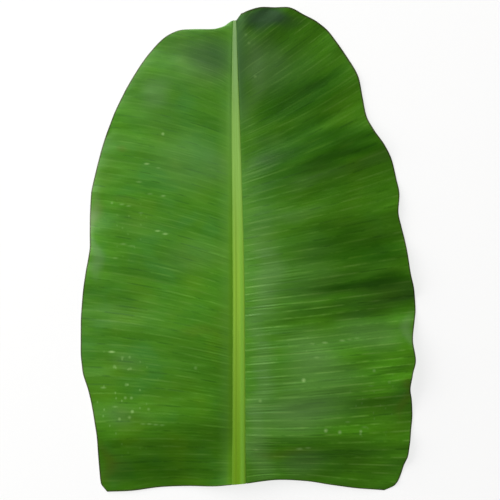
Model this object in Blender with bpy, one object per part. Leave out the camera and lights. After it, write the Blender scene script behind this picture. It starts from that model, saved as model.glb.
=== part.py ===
"""A banana leaf, cut straight across and laid down with its glossy side up.

The blade and the midrib grew as one piece, so the leaf is one closed solid. It is worked out row
by row: each row comes in from the left margin along a side vein, crosses the midrib and runs out
along the opposite vein to the right margin. Every second row stands up as a rib over its vein.

Metres, +Z up, the tip towards +Y. The keel of the midrib lies flat on the surface, and the origin
is on that surface, under the middle of the leaf.
"""
import bmesh
import bpy
import numpy as np

MM = 0.001

# The midrib: its length from the cut to the tip, where the cut crosses it, and its slight lean
MIDRIB_LENGTH = 506.5 * MM
CUT_X = -9.5 * MM
CUT_Y = -258.3 * MM
LEAN = -4.6 * MM
LEAN_STARTS = 180 * MM

# The side veins stand closer together towards the tip
VEINS = 72
CROWDING = 0.09
RIB_HEIGHT = 0.35 * MM
RIB_RISES_OVER = 5 * MM

# The blade's thickness, and how quickly it thickens where it joins the midrib
BLADE = 0.85 * MM
THICKENS_OVER = 4 * MM
SHOULDER = 0.24

# A vein leaves the midrib at a slant and then bends outwards
VEIN_HOOK = 4 * MM
HOOK_REACH = 8 * MM
HOOK_FADES_IN = 40 * MM

# How late each half falls away to its margin, and how close to the margin an arched edge curls down
FALL_SHAPE = 1.6
CURL_REACH = 8 * MM

# The knife went a little astray, and that evens out over the first rows
CUT_EVENS_OUT = 14 * MM
CUT_SET_BACK = -0.3 * MM
CUT_SLANT = 0.7 * MM

# Millimetres from the cut, then the midrib's width, its depth, and the height of its keel
MIDRIB = (
    (0, 15.4, 11.2, 0), (50, 14.6, 10.9, 0), (110, 14.2, 10.5, 0), (180, 13.4, 10.0, 0),
    (245, 12.8, 9.2, 0), (310, 11.2, 8.2, 0), (355, 10.4, 7.2, 0), (400, 9.0, 6.1, 1.5),
    (443, 7.0, 5.0, 5.5), (471, 5.6, 4.2, 8.5), (498, 4.0, 3.4, 11), (509, 3.2, 3.0, 11.5),
)

# Shares of the midrib's half width and depth: across, height of the channel, height underneath
MIDRIB_SECTION = (
    (-1.0, 0.98, 1.0 - SHOULDER), (-0.7, 1.0, 0.27), (-0.28, 0.98, 0.0),
    (0.28, 0.98, 0.0), (0.7, 1.0, 0.27), (1.0, 0.98, 1.0 - SHOULDER),
)

# Millimetres along the midrib from the cut to where a vein starts; then where that vein meets the
# margin: how far out from the midrib, how much nearer the tip, and how high above the surface
LEFT_MARGIN = (
    (0, 145, -9, 0.5), (6, 152, -5.5, 1), (16, 153.5, -3, 2), (31, 154.5, -1, 4.5),
    (47, 155.5, 2, 7), (63, 158.5, 7, 7.5), (86, 165, 15, 6), (104, 172, 20, 4),
    (124, 174, 23, 2), (148, 174, 27, 0.5), (172, 172.5, 31, 1), (197, 168.5, 35, 2),
    (226, 163.5, 37, 3), (252, 163.5, 38, 2), (281, 161.5, 37, 1), (308, 155.5, 36, 1),
    (339, 147, 35, 0), (367, 137, 33, 1), (396, 123.5, 32, 1), (420, 110, 31, 1),
    (443, 95, 29, 2), (462, 79, 26, 4), (476, 62.5, 20.5, 6), (487, 44, 11, 8),
    (497, 24, 0.5, 10), (505, 11, -4, 11), (509, 7, -5, 11.5),
)
RIGHT_MARGIN = (
    (0, 160, -7.5, 0.5), (5, 171.5, -7, 0), (12, 177, -6, 0), (23, 181.5, -4, 1.5),
    (33, 186, -2, 3.5), (42, 187.5, 0, 5), (54, 189.5, 4, 2.5), (67, 191, 8, 1.5),
    (79, 190, 12, 5), (90, 188, 14, 9.5), (103, 190, 16, 12), (118, 193.5, 17, 12),
    (139, 190.5, 18, 10), (158, 193, 19, 4.5), (170, 194.5, 20, 0.5), (180, 194, 21.5, 0),
    (191, 192.5, 22, 4), (206, 188.5, 24, 9), (224, 185.5, 27, 7), (239, 182.5, 30, 3),
    (249, 179.5, 32, 4), (263, 176, 36, 4.5), (276, 177.5, 41, 2), (290, 174.5, 45, -0.5),
    (305, 170, 50, 1), (318, 161.5, 54, 5), (330, 150.5, 58, 5.5), (342, 142.5, 62, 3),
    (357, 139, 66, 1), (375, 135, 70, 0.5), (396, 123, 72, 0.5), (420, 106.5, 72, 0.5),
    (443, 90.5, 64, 2), (458, 75, 57, 4), (474, 60, 48, 7), (485, 43, 37, 9),
    (492, 29, 30, 11), (499, 15, 19, 12), (505, 8.5, 10, 12), (509, 5, 5, 12),
)

# Percent of the way out to the margin, then how far the cut runs off straight, towards the tip
LEFT_CUT = ((0, -1), (15, -2.6), (35, -1.4), (56, -0.8), (80, -2.4), (100, -1))
RIGHT_CUT = ((0, 0.4), (25, 3.6), (45, 2.4), (62, -0.4), (80, -2), (100, -1))

# Millimetres from the cut, then how far the middle of a vein bows towards the tip
LEFT_BOW = ((0, 1.2), (100, 4.5), (400, 4.5), (509, 0.5))
RIGHT_BOW = ((0, 3.2), (55, -1), (130, 0), (509, 0))

# Millimetres from the cut, then how far each half swells up beside the midrib, and how far its
# outer zone arches before it curls down to the surface at the margin
LEFT_SWELL = ((0, -7), (30, 0), (62, 6), (150, 4), (240, 0), (330, -1), (460, -1), (509, 0))
RIGHT_SWELL = (
    (0, -3), (25, 1), (55, 8), (160, 11), (220, 13), (260, 12), (330, 8), (370, 2), (430, -2),
    (509, 0),
)
LEFT_CURL = ((0, 0), (170, 0), (225, 3), (270, 3), (310, 2), (380, 1), (430, 1), (509, 0))
RIGHT_CURL = ((0, 0), (509, 0))

# Shallow pleats that run out along the veins: length, height and sideways drift in millimetres,
# and the share of a pleat by which the two halves of the blade differ
PLEATS = ((47, 0.7, 14, 0.10), (31, 0.45, -11, 0.35), (86, 1.1, 24, 0.60))

# Where the columns of points stand in each half, as shares of the way from midrib to margin
COLUMNS = (0.06, 0.18, 0.34, 0.54, 0.76, 0.93, 1.0)

LEAF_GREEN = (0.070, 0.215, 0.022, 1.0)
MIDRIB_GREEN = (0.215, 0.400, 0.070, 1.0)
LEAF_ROUGHNESS = 0.45


def curve_through(stations, column):
    """A smooth curve through one column of a table, with no overshoot between its stations."""
    at = np.array([station[0] for station in stations]) * MM
    value = np.array([station[column] for station in stations]) * MM
    run = np.diff(at)
    slope = np.diff(value) / run
    turns = slope[:-1] * slope[1:] <= 0
    total = np.where(turns, 1.0, slope[:-1] + slope[1:])
    tangent = np.empty(len(at))
    tangent[0] = slope[0]
    tangent[-1] = slope[-1]
    tangent[1:-1] = np.where(turns, 0.0, 2 * slope[:-1] * slope[1:] / total)

    def curve(distance):
        piece = np.clip(np.searchsorted(at, distance, side="right") - 1, 0, len(run) - 1)
        share = (distance - at[piece]) / run[piece]
        rest = 1 - share
        return (value[piece] * (1 + 2 * share) * rest ** 2
                + value[piece + 1] * (3 - 2 * share) * share ** 2
                + run[piece] * share * rest * (tangent[piece] * rest - tangent[piece + 1] * share))

    return curve


def ease(share):
    """Goes from 0 to 1 with level ends."""
    share = np.clip(share, 0, 1)
    return share * share * (3 - 2 * share)


def near_cut(distance):
    """Goes from 1 at the cut to 0 a few rows further on."""
    return np.exp(-(distance / CUT_EVENS_OUT) ** 2)


midrib_width, midrib_depth, keel_height = (curve_through(MIDRIB, column) for column in (1, 2, 3))


class Half:
    """One half of the blade, to the left (-1) or to the right (+1) of the midrib."""

    def __init__(self, side, margin, bow, swell, curl, cut):
        self.side = side
        self.out, self.tipward, self.height = (curve_through(margin, column) for column in (1, 2, 3))
        self.bow, self.swell, self.curl, self.cut = (
            curve_through(table, 1) for table in (bow, swell, curl, cut))

    def pleat(self, distance, share):
        total = 0.0
        for length, height, drift, phase in PLEATS:
            turn = (distance + drift * MM * share) / (length * MM) + phase * self.side
            total += height * MM * np.sin(2 * np.pi * turn)
        return total * share * (1.4 - 0.7 * share)

    def point(self, distance, share, rib):
        """A point of the upper face, and the thickness under it."""
        shoulder = midrib_width(distance) / 2
        width = self.out(distance) - shoulder
        from_shoulder = share * width
        hook = VEIN_HOOK * (1 - np.exp(-from_shoulder / HOOK_REACH)) * (1 - share)
        hook *= ease(distance / HOOK_FADES_IN) * ease((MIDRIB_LENGTH - distance) / HOOK_FADES_IN)
        bend = self.bow(distance) * 4 * share * (1 - share)
        x = midrib_x(distance) + self.side * (shoulder + from_shoulder)
        y = CUT_Y + distance + self.tipward(distance) * share + bend + hook
        y += self.cut(share * 100 * MM) * near_cut(distance)

        top = keel_height(distance) + midrib_depth(distance)
        fall = self.height(distance) + BLADE - top
        z = top + self.swell(distance) * np.sin(np.pi * share * (1.5 - 0.5 * share))
        z += fall * share ** FALL_SHAPE
        z += self.curl(distance) * share ** 2 * (1 - np.exp(-(1 - share) * width / CURL_REACH))
        z += self.pleat(distance, share)
        z += rib * (1 - np.exp(-from_shoulder / RIB_RISES_OVER)) * (1 - 0.35 * share)

        root = max(SHOULDER * midrib_depth(distance), BLADE)
        thickness = BLADE + (root - BLADE) * np.exp(-from_shoulder / THICKENS_OVER)
        return x, y, max(z, thickness), thickness


def midrib_x(distance):
    """The midrib runs straight up from the cut and leans a little towards the tip."""
    return CUT_X + LEAN * ease((distance - LEAN_STARTS) / (MIDRIB_LENGTH - LEAN_STARTS))


def row_distance(row, rows):
    """How far from the cut a row crosses the midrib."""
    share = row / rows
    return MIDRIB_LENGTH * share * (1 + CROWDING * (1 - share ** 6))


def rib_height(row, rows):
    """Rows stand up and dip in turn, less so where they are close together."""
    spacing = row_distance(min(row + 1, rows), rows) - row_distance(max(row - 1, 0), rows)
    widest = 2 * row_distance(1, rows)
    return RIB_HEIGHT * (-1) ** (row + 1) * min(1.0, spacing / widest)


def row_points(row, rows, halves):
    """One row from margin to margin, as pairs of an upper point and the lower one beneath it."""
    distance = row_distance(row, rows)
    rib = rib_height(row, rows)
    left, right = halves
    pairs = []

    def add_blade(half, share):
        x, y, z, thickness = half.point(distance, share, rib)
        pairs.append(((x, y, z), (x, y, z - thickness)))

    for share in reversed(COLUMNS):
        add_blade(left, share)
    depth = midrib_depth(distance)
    keel = keel_height(distance)
    for across, top, under in MIDRIB_SECTION:
        x = midrib_x(distance) + across * midrib_width(distance) / 2
        y = CUT_Y + distance + (CUT_SET_BACK + across * CUT_SLANT) * near_cut(distance)
        thickness = max((top - under) * depth, BLADE)
        pairs.append(((x, y, keel + top * depth), (x, y, keel + top * depth - thickness)))
    for share in COLUMNS:
        add_blade(right, share)
    return pairs


def leaf_mesh():
    """A grid with a row for each rib and dip, thickened and then put in its place point by point.

    The grid is cut into triangles before it is thickened, so both faces split the same way.
    """
    halves = (
        Half(-1, LEFT_MARGIN, LEFT_BOW, LEFT_SWELL, LEFT_CURL, LEFT_CUT),
        Half(1, RIGHT_MARGIN, RIGHT_BOW, RIGHT_SWELL, RIGHT_CURL, RIGHT_CUT),
    )
    rows = 2 * VEINS
    columns = 2 * len(COLUMNS) + len(MIDRIB_SECTION) - 1
    table = [row_points(row, rows, halves) for row in range(rows + 1)]

    bm = bmesh.new()
    bmesh.ops.create_grid(bm, x_segments=columns, y_segments=rows, size=1.0)
    bmesh.ops.triangulate(bm, faces=bm.faces[:], quad_method="FIXED")
    raised = bmesh.ops.extrude_face_region(bm, geom=bm.faces[:])["geom"]
    upper = {item for item in raised if isinstance(item, bmesh.types.BMVert)}
    column_of = {}
    for vert in bm.verts:
        column = round((vert.co.x + 1) / 2 * columns)
        row = round((vert.co.y + 1) / 2 * rows)
        column_of[vert] = column
        vert.co = table[row][column][0 if vert in upper else 1]
    bmesh.ops.recalc_face_normals(bm, faces=bm.faces[:])

    first = len(COLUMNS)
    last = first + len(MIDRIB_SECTION) - 1
    for face in bm.faces:
        face.smooth = True
        if all(first <= column_of[vert] <= last for vert in face.verts):
            face.material_index = 1
    mesh = bpy.data.meshes.new("banana_leaf")
    bm.to_mesh(mesh)
    bm.free()
    return mesh


def leaf_material(name, colour):
    material = bpy.data.materials.new(name)
    material.use_nodes = True
    shader = material.node_tree.nodes["Principled BSDF"]
    shader.inputs["Base Color"].default_value = colour
    shader.inputs["Roughness"].default_value = LEAF_ROUGHNESS
    shader.inputs["Metallic"].default_value = 0.0
    return material


for leftover in list(bpy.data.objects):
    bpy.data.objects.remove(leftover, do_unlink=True)

leaf = bpy.data.objects.new("banana_leaf", leaf_mesh())
leaf.data.materials.append(leaf_material("blade", LEAF_GREEN))
leaf.data.materials.append(leaf_material("midrib", MIDRIB_GREEN))
bpy.context.scene.collection.objects.link(leaf)
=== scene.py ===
"""The looks of a cut banana leaf that lies on a pale table with its glossy side up."""
import math

import bpy
import numpy as np
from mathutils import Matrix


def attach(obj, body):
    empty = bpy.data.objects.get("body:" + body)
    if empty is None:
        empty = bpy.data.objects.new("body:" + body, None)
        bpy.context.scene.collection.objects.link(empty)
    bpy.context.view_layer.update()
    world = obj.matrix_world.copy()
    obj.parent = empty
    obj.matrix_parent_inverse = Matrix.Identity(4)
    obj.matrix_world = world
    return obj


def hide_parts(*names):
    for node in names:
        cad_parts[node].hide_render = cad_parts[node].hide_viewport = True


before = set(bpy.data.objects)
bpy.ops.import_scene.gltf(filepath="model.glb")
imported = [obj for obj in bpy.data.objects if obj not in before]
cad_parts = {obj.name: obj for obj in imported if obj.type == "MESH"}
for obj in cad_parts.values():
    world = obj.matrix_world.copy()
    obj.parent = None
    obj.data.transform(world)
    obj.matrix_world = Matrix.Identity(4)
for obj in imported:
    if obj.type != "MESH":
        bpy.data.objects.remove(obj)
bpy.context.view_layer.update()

bpy.ops.object.select_all(action="DESELECT")

# The two halves of the blade. Each is a thin sheet of green tissue that grows out of the side of
# the midrib, stiffened by side veins that stand up as fine ribs. Rows of points run along the
# veins, so that every strip between two veins has a tilt of its own, as in the real leaf.
MM = 0.001
MIDRIB_LENGTH = 506.5 * MM
CUT_X = -9.5 * MM
CUT_Y = -258.3 * MM
LEAN = -4.6 * MM
LEAN_STARTS = 180 * MM

VEINS = 72
CROWDING = 0.09
ROWS_PER_VEIN = 18
BLADE_COLUMNS = 32
CAD_BLADE = 0.85 * MM
BLADE = 0.45 * MM
THICKENS_OVER = 2.5 * MM
LEFT_ROOT_DIP = 0.004
RIGHT_ROOT_DIP = 0.02
ROOT_DIP_OVER = 6 * MM
ROOT_THICKNESS = 0.14
SUNK_IN = 1.2 * MM
SUNK_BACK = SUNK_IN * 0.5
SUNK_DOWN = SUNK_IN * 0.3
CLEARANCE = 0.05 * MM

HOOK_REACH = 8 * MM
FALL_SHAPE = 1.6
COLUMN_SPREAD = 0.8

# Millimetres from the cut, then the midrib's width, its depth, and the height of its keel
MIDRIB = (
    (0, 15.4, 11.2, 0), (50, 14.6, 10.9, 0), (110, 14.2, 10.5, 0), (180, 13.4, 10.0, 0),
    (245, 12.8, 9.2, 0), (310, 11.2, 8.2, 0), (355, 10.4, 7.2, 0), (400, 9.0, 6.1, 1.5),
    (443, 7.0, 5.0, 5.5), (471, 5.6, 4.2, 8.5), (498, 4.0, 3.4, 11), (509, 3.2, 3.0, 11.5),
)

# Millimetres along the midrib from the cut to where a vein starts; then where that vein meets the
# margin: how far out from the midrib, how much nearer the tip, and how high above the table
LEFT_MARGIN = (
    (0, 145, -9, 0.5), (6, 152, -5.5, 1), (16, 153.5, -3, 2), (31, 154.5, -1, 4.5),
    (47, 155.5, 2, 7), (63, 158.5, 7, 7.5), (86, 165, 15, 6), (104, 172, 20, 4),
    (124, 174, 23, 2), (148, 174, 27, 0.5), (172, 172.5, 31, 1), (197, 168.5, 35, 2),
    (226, 163.5, 37, 3), (252, 163.5, 38, 2), (281, 161.5, 37, 1), (308, 155.5, 36, 1),
    (339, 147, 35, 0), (367, 137, 33, 1), (396, 123.5, 32, 1), (420, 110, 31, 1),
    (443, 95, 29, 2), (462, 79, 26, 4), (476, 62.5, 20.5, 6), (487, 44, 11, 8),
    (497, 24, 0.5, 10), (505, 11, -4, 11), (509, 7, -5, 11.5),
)
RIGHT_MARGIN = (
    (0, 160, -7.5, 0.5), (5, 171.5, -7, 0), (12, 177, -6, 0), (23, 181.5, -4, 1.5),
    (33, 186, -2, 3.5), (42, 187.5, 0, 5), (54, 189.5, 4, 2.5), (67, 191, 8, 1.5),
    (79, 190, 12, 5), (90, 188, 14, 9.5), (103, 190, 16, 12), (118, 193.5, 17, 12),
    (139, 190.5, 18, 10), (158, 193, 19, 4.5), (170, 194.5, 20, 0.5), (180, 194, 21.5, 0),
    (191, 192.5, 22, 4), (206, 188.5, 24, 9), (224, 185.5, 27, 7), (239, 182.5, 30, 3),
    (249, 179.5, 32, 4), (263, 176, 36, 4.5), (276, 177.5, 41, 2), (290, 174.5, 45, -0.5),
    (305, 170, 50, 1), (318, 161.5, 54, 5), (330, 150.5, 58, 5.5), (342, 142.5, 62, 3),
    (357, 139, 66, 1), (375, 135, 70, 0.5), (396, 123, 72, 0.5), (420, 106.5, 72, 0.5),
    (443, 90.5, 64, 2), (458, 75, 57, 4), (474, 60, 48, 7), (485, 43, 37, 9),
    (492, 29, 30, 11), (499, 15, 19, 12), (505, 8.5, 10, 12), (509, 5, 5, 12),
)

# Percent of the way out to the margin, then how far the cut runs off straight, towards the tip
LEFT_CUT = ((0, -1), (15, -2.6), (35, -1.4), (56, -0.8), (80, -2.4), (100, -1))
RIGHT_CUT = ((0, 0.4), (25, 3.6), (45, 2.4), (62, -0.4), (80, -2), (100, -1))
CUT_EVENS_OUT = 14 * MM

# Millimetres from the cut, then how far the middle of a vein bows towards the tip, and how far
# the blade swells up beside the midrib
LEFT_BOW = ((0, 1.2), (100, 4.5), (400, 4.5), (509, 0.5))
RIGHT_BOW = ((0, 3.2), (55, -1), (130, 0), (230, -1), (290, -2.5), (330, -4), (390, -5),
             (425, -2.5), (455, -1), (509, 0))
LEFT_SWELL = ((0, -7), (30, 0), (62, 6), (150, 4), (240, 0), (330, -1), (460, -1), (509, 0))
RIGHT_SWELL = ((0, -3), (25, 1), (55, 8), (160, 11), (220, 13), (260, 12), (330, 8), (370, 2),
               (430, -2), (509, 0))

# Millimetres from the cut, then how far the outer zone arches up before it curls down to the table
# at the margin, which only the left half does
LEFT_CURL = ((0, 0), (170, 0), (225, 3), (270, 3), (310, 2), (380, 1), (430, 1), (509, 0))
RIGHT_CURL = ((0, 0), (509, 0))
CURL_REACH = 8 * MM

# Millimetres from the cut, then how far a vein turns towards the tip as it leaves the midrib
VEIN_HOOK = ((0, 0), (250, 0.6), (380, 1), (440, 3), (480, 3), (509, 0))

# Shallow pleats along the veins: length, height and sideways drift in millimetres, and the share
# of a pleat by which it is shifted, one way on the left half and the other way on the right
PLEATS = ((47, 0.7, 14, 0.10), (31, 0.45, -11, 0.35), (86, 1.1, 24, 0.60))

# The fine relief: strips between veins that tilt, veins that stand up, some more than others, and
# ripples. All three change their strength between a few knots along each vein.
KNOTS = 8
STRIP_TILT = 0.21 * MM
TILT_AT_ROOT = 0.4
VEIN_STEP = 0.22 * MM
VEIN_WIDTH = 0.13
STRONG_VEIN_EVERY = 4
STRONG_VEIN = 1.5
RIPPLE = 0.026 * MM
RIPPLES_PER_VEIN = (1.83, 2.71)
RELIEF_STARTS_OVER = 5 * MM
RELIEF_LOSS = 0.35
VEIN_LOSS = 0.7
VEIN_LOSS_SHAPE = 1.5
LEAST_CROWDED = 0.2

# Millimetres from the cut, then how strongly that relief stands out there
LEFT_RELIEF = ((0, 1.0), (100, 1.35), (150, 1.5), (300, 1.35), (400, 1.0), (509, 0.8))
RIGHT_RELIEF = ((0, 2.4), (110, 2.4), (170, 1.8), (250, 1.0), (330, 0.6), (509, 0.6))


def curve_through(stations, column):
    """A smooth curve through one column of a table, with no overshoot between its stations."""
    at = np.array([station[0] for station in stations]) * MM
    value = np.array([station[column] for station in stations]) * MM
    run = np.diff(at)
    slope = np.diff(value) / run
    turns = slope[:-1] * slope[1:] <= 0
    total = np.where(turns, 1.0, slope[:-1] + slope[1:])
    tangent = np.empty(len(at))
    tangent[0] = slope[0]
    tangent[-1] = slope[-1]
    tangent[1:-1] = np.where(turns, 0.0, 2 * slope[:-1] * slope[1:] / total)

    def curve(distance):
        piece = np.clip(np.searchsorted(at, distance, side="right") - 1, 0, len(run) - 1)
        share = (distance - at[piece]) / run[piece]
        rest = 1 - share
        return (value[piece] * (1 + 2 * share) * rest ** 2
                + value[piece + 1] * (3 - 2 * share) * share ** 2
                + run[piece] * share * rest * (tangent[piece] * rest - tangent[piece + 1] * share))

    return curve


def ease(share):
    share = np.clip(share, 0, 1)
    return share * share * (3 - 2 * share)


def vein_start(vein):
    """How far from the cut a vein leaves the midrib, also between two veins."""
    share = vein / VEINS
    return MIDRIB_LENGTH * share * (1 + CROWDING * (1 - share ** 6))


def midrib_x(distance):
    return CUT_X + LEAN * ease((distance - LEAN_STARTS) / (MIDRIB_LENGTH - LEAN_STARTS))


midrib_width, midrib_depth, keel_height = (curve_through(MIDRIB, column) for column in (1, 2, 3))
vein_hook = curve_through(VEIN_HOOK, 1)


def fine_relief(vein, share, from_shoulder, rng):
    """The height of the strips, veins and ripples over the smooth form of a half."""
    knots = np.linspace(0, 1, KNOTS)
    tilts = rng.normal(0, 1, (VEINS + 2, KNOTS))
    strength = rng.uniform(0.0, 1.2, (VEINS + 2, KNOTS))
    strength[::STRONG_VEIN_EVERY] *= STRONG_VEIN
    swings = rng.normal(0, 1, (VEINS + 2, KNOTS))
    below = np.clip(np.floor(vein).astype(int), 0, VEINS)
    knot = np.clip(np.searchsorted(knots, share, side="right") - 1, 0, KNOTS - 2)
    along = ease((share - knots[knot]) * (KNOTS - 1))

    def at_vein(table, number):
        return table[number, knot] * (1 - along) + table[number, knot + 1] * along

    def between(table):
        across = vein - below
        return at_vein(table, below) * (1 - across) + at_vein(table, below + 1) * across

    nearest = np.clip(np.round(vein).astype(int), 0, VEINS)
    phase = vein - nearest
    step = phase - 0.5 * np.tanh(phase / VEIN_WIDTH) / np.tanh(0.5 / VEIN_WIDTH)
    ripple = between(swings) * sum(np.sin(2 * np.pi * often * vein) for often in RIPPLES_PER_VEIN)
    fade_in = 1 - np.exp(-from_shoulder / RELIEF_STARTS_OVER)
    fade_out = 1 - RELIEF_LOSS * share
    vein_fades = 1 - VEIN_LOSS * share ** VEIN_LOSS_SHAPE
    spacing = vein_start(vein + 0.5) - vein_start(vein - 0.5)
    crowded = np.clip(spacing / vein_start(1.0), LEAST_CROWDED, 1)
    tilted = STRIP_TILT * between(tilts) * (TILT_AT_ROOT + share)
    raised = VEIN_STEP * at_vein(strength, nearest) * step * vein_fades
    return fade_in * fade_out * crowded * (tilted + raised + RIPPLE * ripple * vein_fades)


def blade_points(side, tables, vein, position, seed):
    """Upper points of one half, the thickness under them, and what the material reads."""
    out, tipward, margin_height = (curve_through(tables[0], column) for column in (1, 2, 3))
    bow, swell, curl, cut, relief = (curve_through(table, 1) for table in tables[1:])
    distance = vein_start(vein)
    share = np.sin(np.pi / 2 * position ** COLUMN_SPREAD) ** 2
    shoulder = midrib_width(distance) / 2
    width = out(distance) - shoulder
    in_midrib = position == 0
    from_shoulder = share * width - SUNK_IN * in_midrib
    outside = np.maximum(from_shoulder, 0)

    hook = vein_hook(distance) * (1 - np.exp(-outside / HOOK_REACH)) * (1 - share)
    x = midrib_x(distance) + side * (shoulder + from_shoulder)
    bowed = bow(distance) * 4 * share * (1 - share)
    y = CUT_Y + distance + tipward(distance) * share + bowed + hook
    percent_out = share * 100 * MM
    y += cut(percent_out) * np.exp(-(distance / CUT_EVENS_OUT) ** 2) + SUNK_BACK * in_midrib

    top = keel_height(distance) + midrib_depth(distance)
    fall = margin_height(distance) + CAD_BLADE - top
    swollen = swell(distance) * np.sin(np.pi * share * (1.5 - 0.5 * share))
    z = top + swollen + fall * share ** FALL_SHAPE
    inside = (1 - share) * width
    z += curl(distance) * share ** 2 * (1 - np.exp(-inside / CURL_REACH))
    for length, height, drift, phase in PLEATS:
        turn = (distance + drift * MM * share) / (length * MM) + phase * side
        z += height * MM * np.sin(2 * np.pi * turn) * share * (1.4 - 0.7 * share)
    z += relief(distance) / MM * fine_relief(vein, share, outside, np.random.default_rng(seed))
    dip = LEFT_ROOT_DIP if side < 0 else RIGHT_ROOT_DIP
    z -= dip * midrib_depth(distance) * np.exp(-outside / ROOT_DIP_OVER)
    z -= SUNK_DOWN * in_midrib
    at_root = ROOT_THICKNESS * midrib_depth(distance)
    thickness = BLADE + (at_root - BLADE) * np.exp(-outside / THICKENS_OVER)
    thickness = np.maximum(thickness, BLADE)
    z = np.maximum(z, thickness + CLEARANCE)
    return x, y, z, thickness, outside, inside


def sheet_grid(name, columns, rows):
    """A grid and a second one under it, joined all round: a flat closed sheet to be shaped."""
    bpy.ops.object.select_all(action="DESELECT")
    bpy.ops.mesh.primitive_grid_add(x_subdivisions=columns, y_subdivisions=rows, size=2)
    sheet = bpy.context.active_object
    sheet.name = name
    bpy.ops.object.mode_set(mode="EDIT")
    bpy.ops.mesh.select_all(action="SELECT")
    bpy.ops.mesh.extrude_region_move(TRANSFORM_OT_translate={"value": (0, 0, -1)})
    bpy.ops.mesh.select_all(action="SELECT")
    bpy.ops.mesh.normals_make_consistent(inside=False)
    bpy.ops.object.mode_set(mode="OBJECT")
    return sheet


def vertex_places(sheet):
    places = np.empty(len(sheet.data.vertices) * 3)
    sheet.data.vertices.foreach_get("co", places)
    return places.reshape(-1, 3)


def write_places(sheet, places):
    sheet.data.vertices.foreach_set("co", np.asarray(places, dtype=np.float32).ravel())
    sheet.data.update()


def write_uv(sheet, name, first, second):
    """A UV map from one pair of values for each vertex."""
    corner = np.empty(len(sheet.data.loops), dtype=np.int32)
    sheet.data.loops.foreach_get("vertex_index", corner)
    pairs = np.stack([first[corner], second[corner]], 1).astype(np.float32)
    sheet.data.uv_layers.new(name=name).data.foreach_set("uv", pairs.ravel())


def write_attribute(sheet, name, values):
    layer = sheet.data.attributes.new(name=name, type="FLOAT", domain="POINT")
    layer.data.foreach_set("value", values)


SMOOTH_UNDER = math.radians(60)


def outward_faces(sheet):
    """Turns a shaped sheet's faces out again if shaping it has turned them in."""
    bpy.ops.object.select_all(action="DESELECT")
    sheet.select_set(True)
    bpy.context.view_layer.objects.active = sheet
    bpy.ops.object.mode_set(mode="EDIT")
    bpy.ops.mesh.select_all(action="SELECT")
    bpy.ops.mesh.normals_make_consistent(inside=False)
    bpy.ops.object.mode_set(mode="OBJECT")
    bpy.ops.object.shade_smooth_by_angle(angle=SMOOTH_UNDER)


UPPER_SLOT, UNDER_SLOT, EDGE_SLOT = 0, 1, 2


def blade_half(name, side, tables, seed):
    half = sheet_grid(name, BLADE_COLUMNS, VEINS * ROWS_PER_VEIN)
    flat = vertex_places(half)
    position = (flat[:, 0] + 1) / 2
    vein = (flat[:, 1] + 1) / 2 * VEINS
    upper = flat[:, 2] > -0.5
    x, y, z, thickness, outside, inside = blade_points(side, tables, vein, position, seed)
    write_places(half, np.stack([x, y, np.where(upper, z, z - thickness)], 1))
    write_uv(half, "veins", outside, vein)
    write_uv(half, "margin", inside, np.full(len(x), float(side)))
    outward_faces(half)

    for face in half.data.polygons:
        on_top = upper[list(face.vertices)]
        face.material_index = EDGE_SLOT if on_top.any() else UNDER_SLOT
        if on_top.all():
            face.material_index = UPPER_SLOT
    return half, vein


# The blade's finishes. The upper side is a waxy deep green with pale vein lines, fine streaks and
# a few pale scars, with painted shade, painted light and painted sheen laid over it. The underside
# is paler and duller, and the thin edge dries brown.
def feed(tree, node, inputs):
    """Gives each socket a value or another node's output."""
    for socket, value in inputs.items():
        if isinstance(value, bpy.types.NodeSocket):
            tree.links.new(value, node.inputs[socket])
        else:
            node.inputs[socket].default_value = value


def add_node(tree, kind, inputs, **settings):
    made = tree.nodes.new("ShaderNode" + kind)
    for setting, value in settings.items():
        setattr(made, setting, value)
    feed(tree, made, inputs)
    return made


def maths(tree, operation, first, second=0.0, third=0.0):
    made = add_node(tree, "Math", {0: first, 1: second, 2: third}, operation=operation)
    return made.outputs[0]


def times(tree, first, second):
    return maths(tree, "MULTIPLY", first, second)


def ramp(tree, value, low, high, out_low=0.0, out_high=1.0):
    """A soft step: out_low below low and out_high above high."""
    made = add_node(tree, "MapRange", {
        "Value": value, "From Min": low, "From Max": high, "To Min": out_low, "To Max": out_high,
    }, interpolation_type="SMOOTHSTEP")
    return made.outputs[0]


def blend(tree, share, first, second, mode="MIX"):
    """Mixes two colours, each a colour or a socket."""
    made = add_node(tree, "Mix", {0: share, 6: first, 7: second},
                    data_type="RGBA", blend_type=mode)
    return made.outputs[2]


def noise(tree, place, scale, detail):
    return add_node(tree, "TexNoise", {
        "Vector": place, "Scale": scale, "Detail": detail,
    }).outputs["Fac"]


def new_group(name, inputs, output):
    """An empty node group with one value as its output, and inputs that have a name and a kind."""
    group = bpy.data.node_groups.new(name, "ShaderNodeTree")
    for socket, kind in inputs:
        group.interface.new_socket(socket, in_out="INPUT", socket_type="NodeSocket" + kind)
    group.interface.new_socket(output, in_out="OUTPUT", socket_type="NodeSocketFloat")
    given = group.nodes.new("NodeGroupInput").outputs
    return group, given, group.nodes.new("NodeGroupOutput").inputs


def streaks_group():
    """Long thin streaks along the first direction of a map: one value, 0.5 on average."""
    group, given, result = new_group("streaks", (
        ("Along", "Float"), ("Across", "Float"), ("Length scale", "Float"),
        ("Width scale", "Float"), ("Seed", "Float"),
    ), "Streak")
    along = times(group, given["Along"], given["Length scale"])
    across = times(group, given["Across"], given["Width scale"])
    place = add_node(group, "CombineXYZ", {"X": along, "Y": across, "Z": given["Seed"]})
    rough = add_node(group, "TexNoise", {
        "Vector": place.outputs[0], "Scale": 1.0, "Detail": 4.0, "Roughness": 0.6,
    })
    group.links.new(rough.outputs["Fac"], result["Streak"])
    return group


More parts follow.
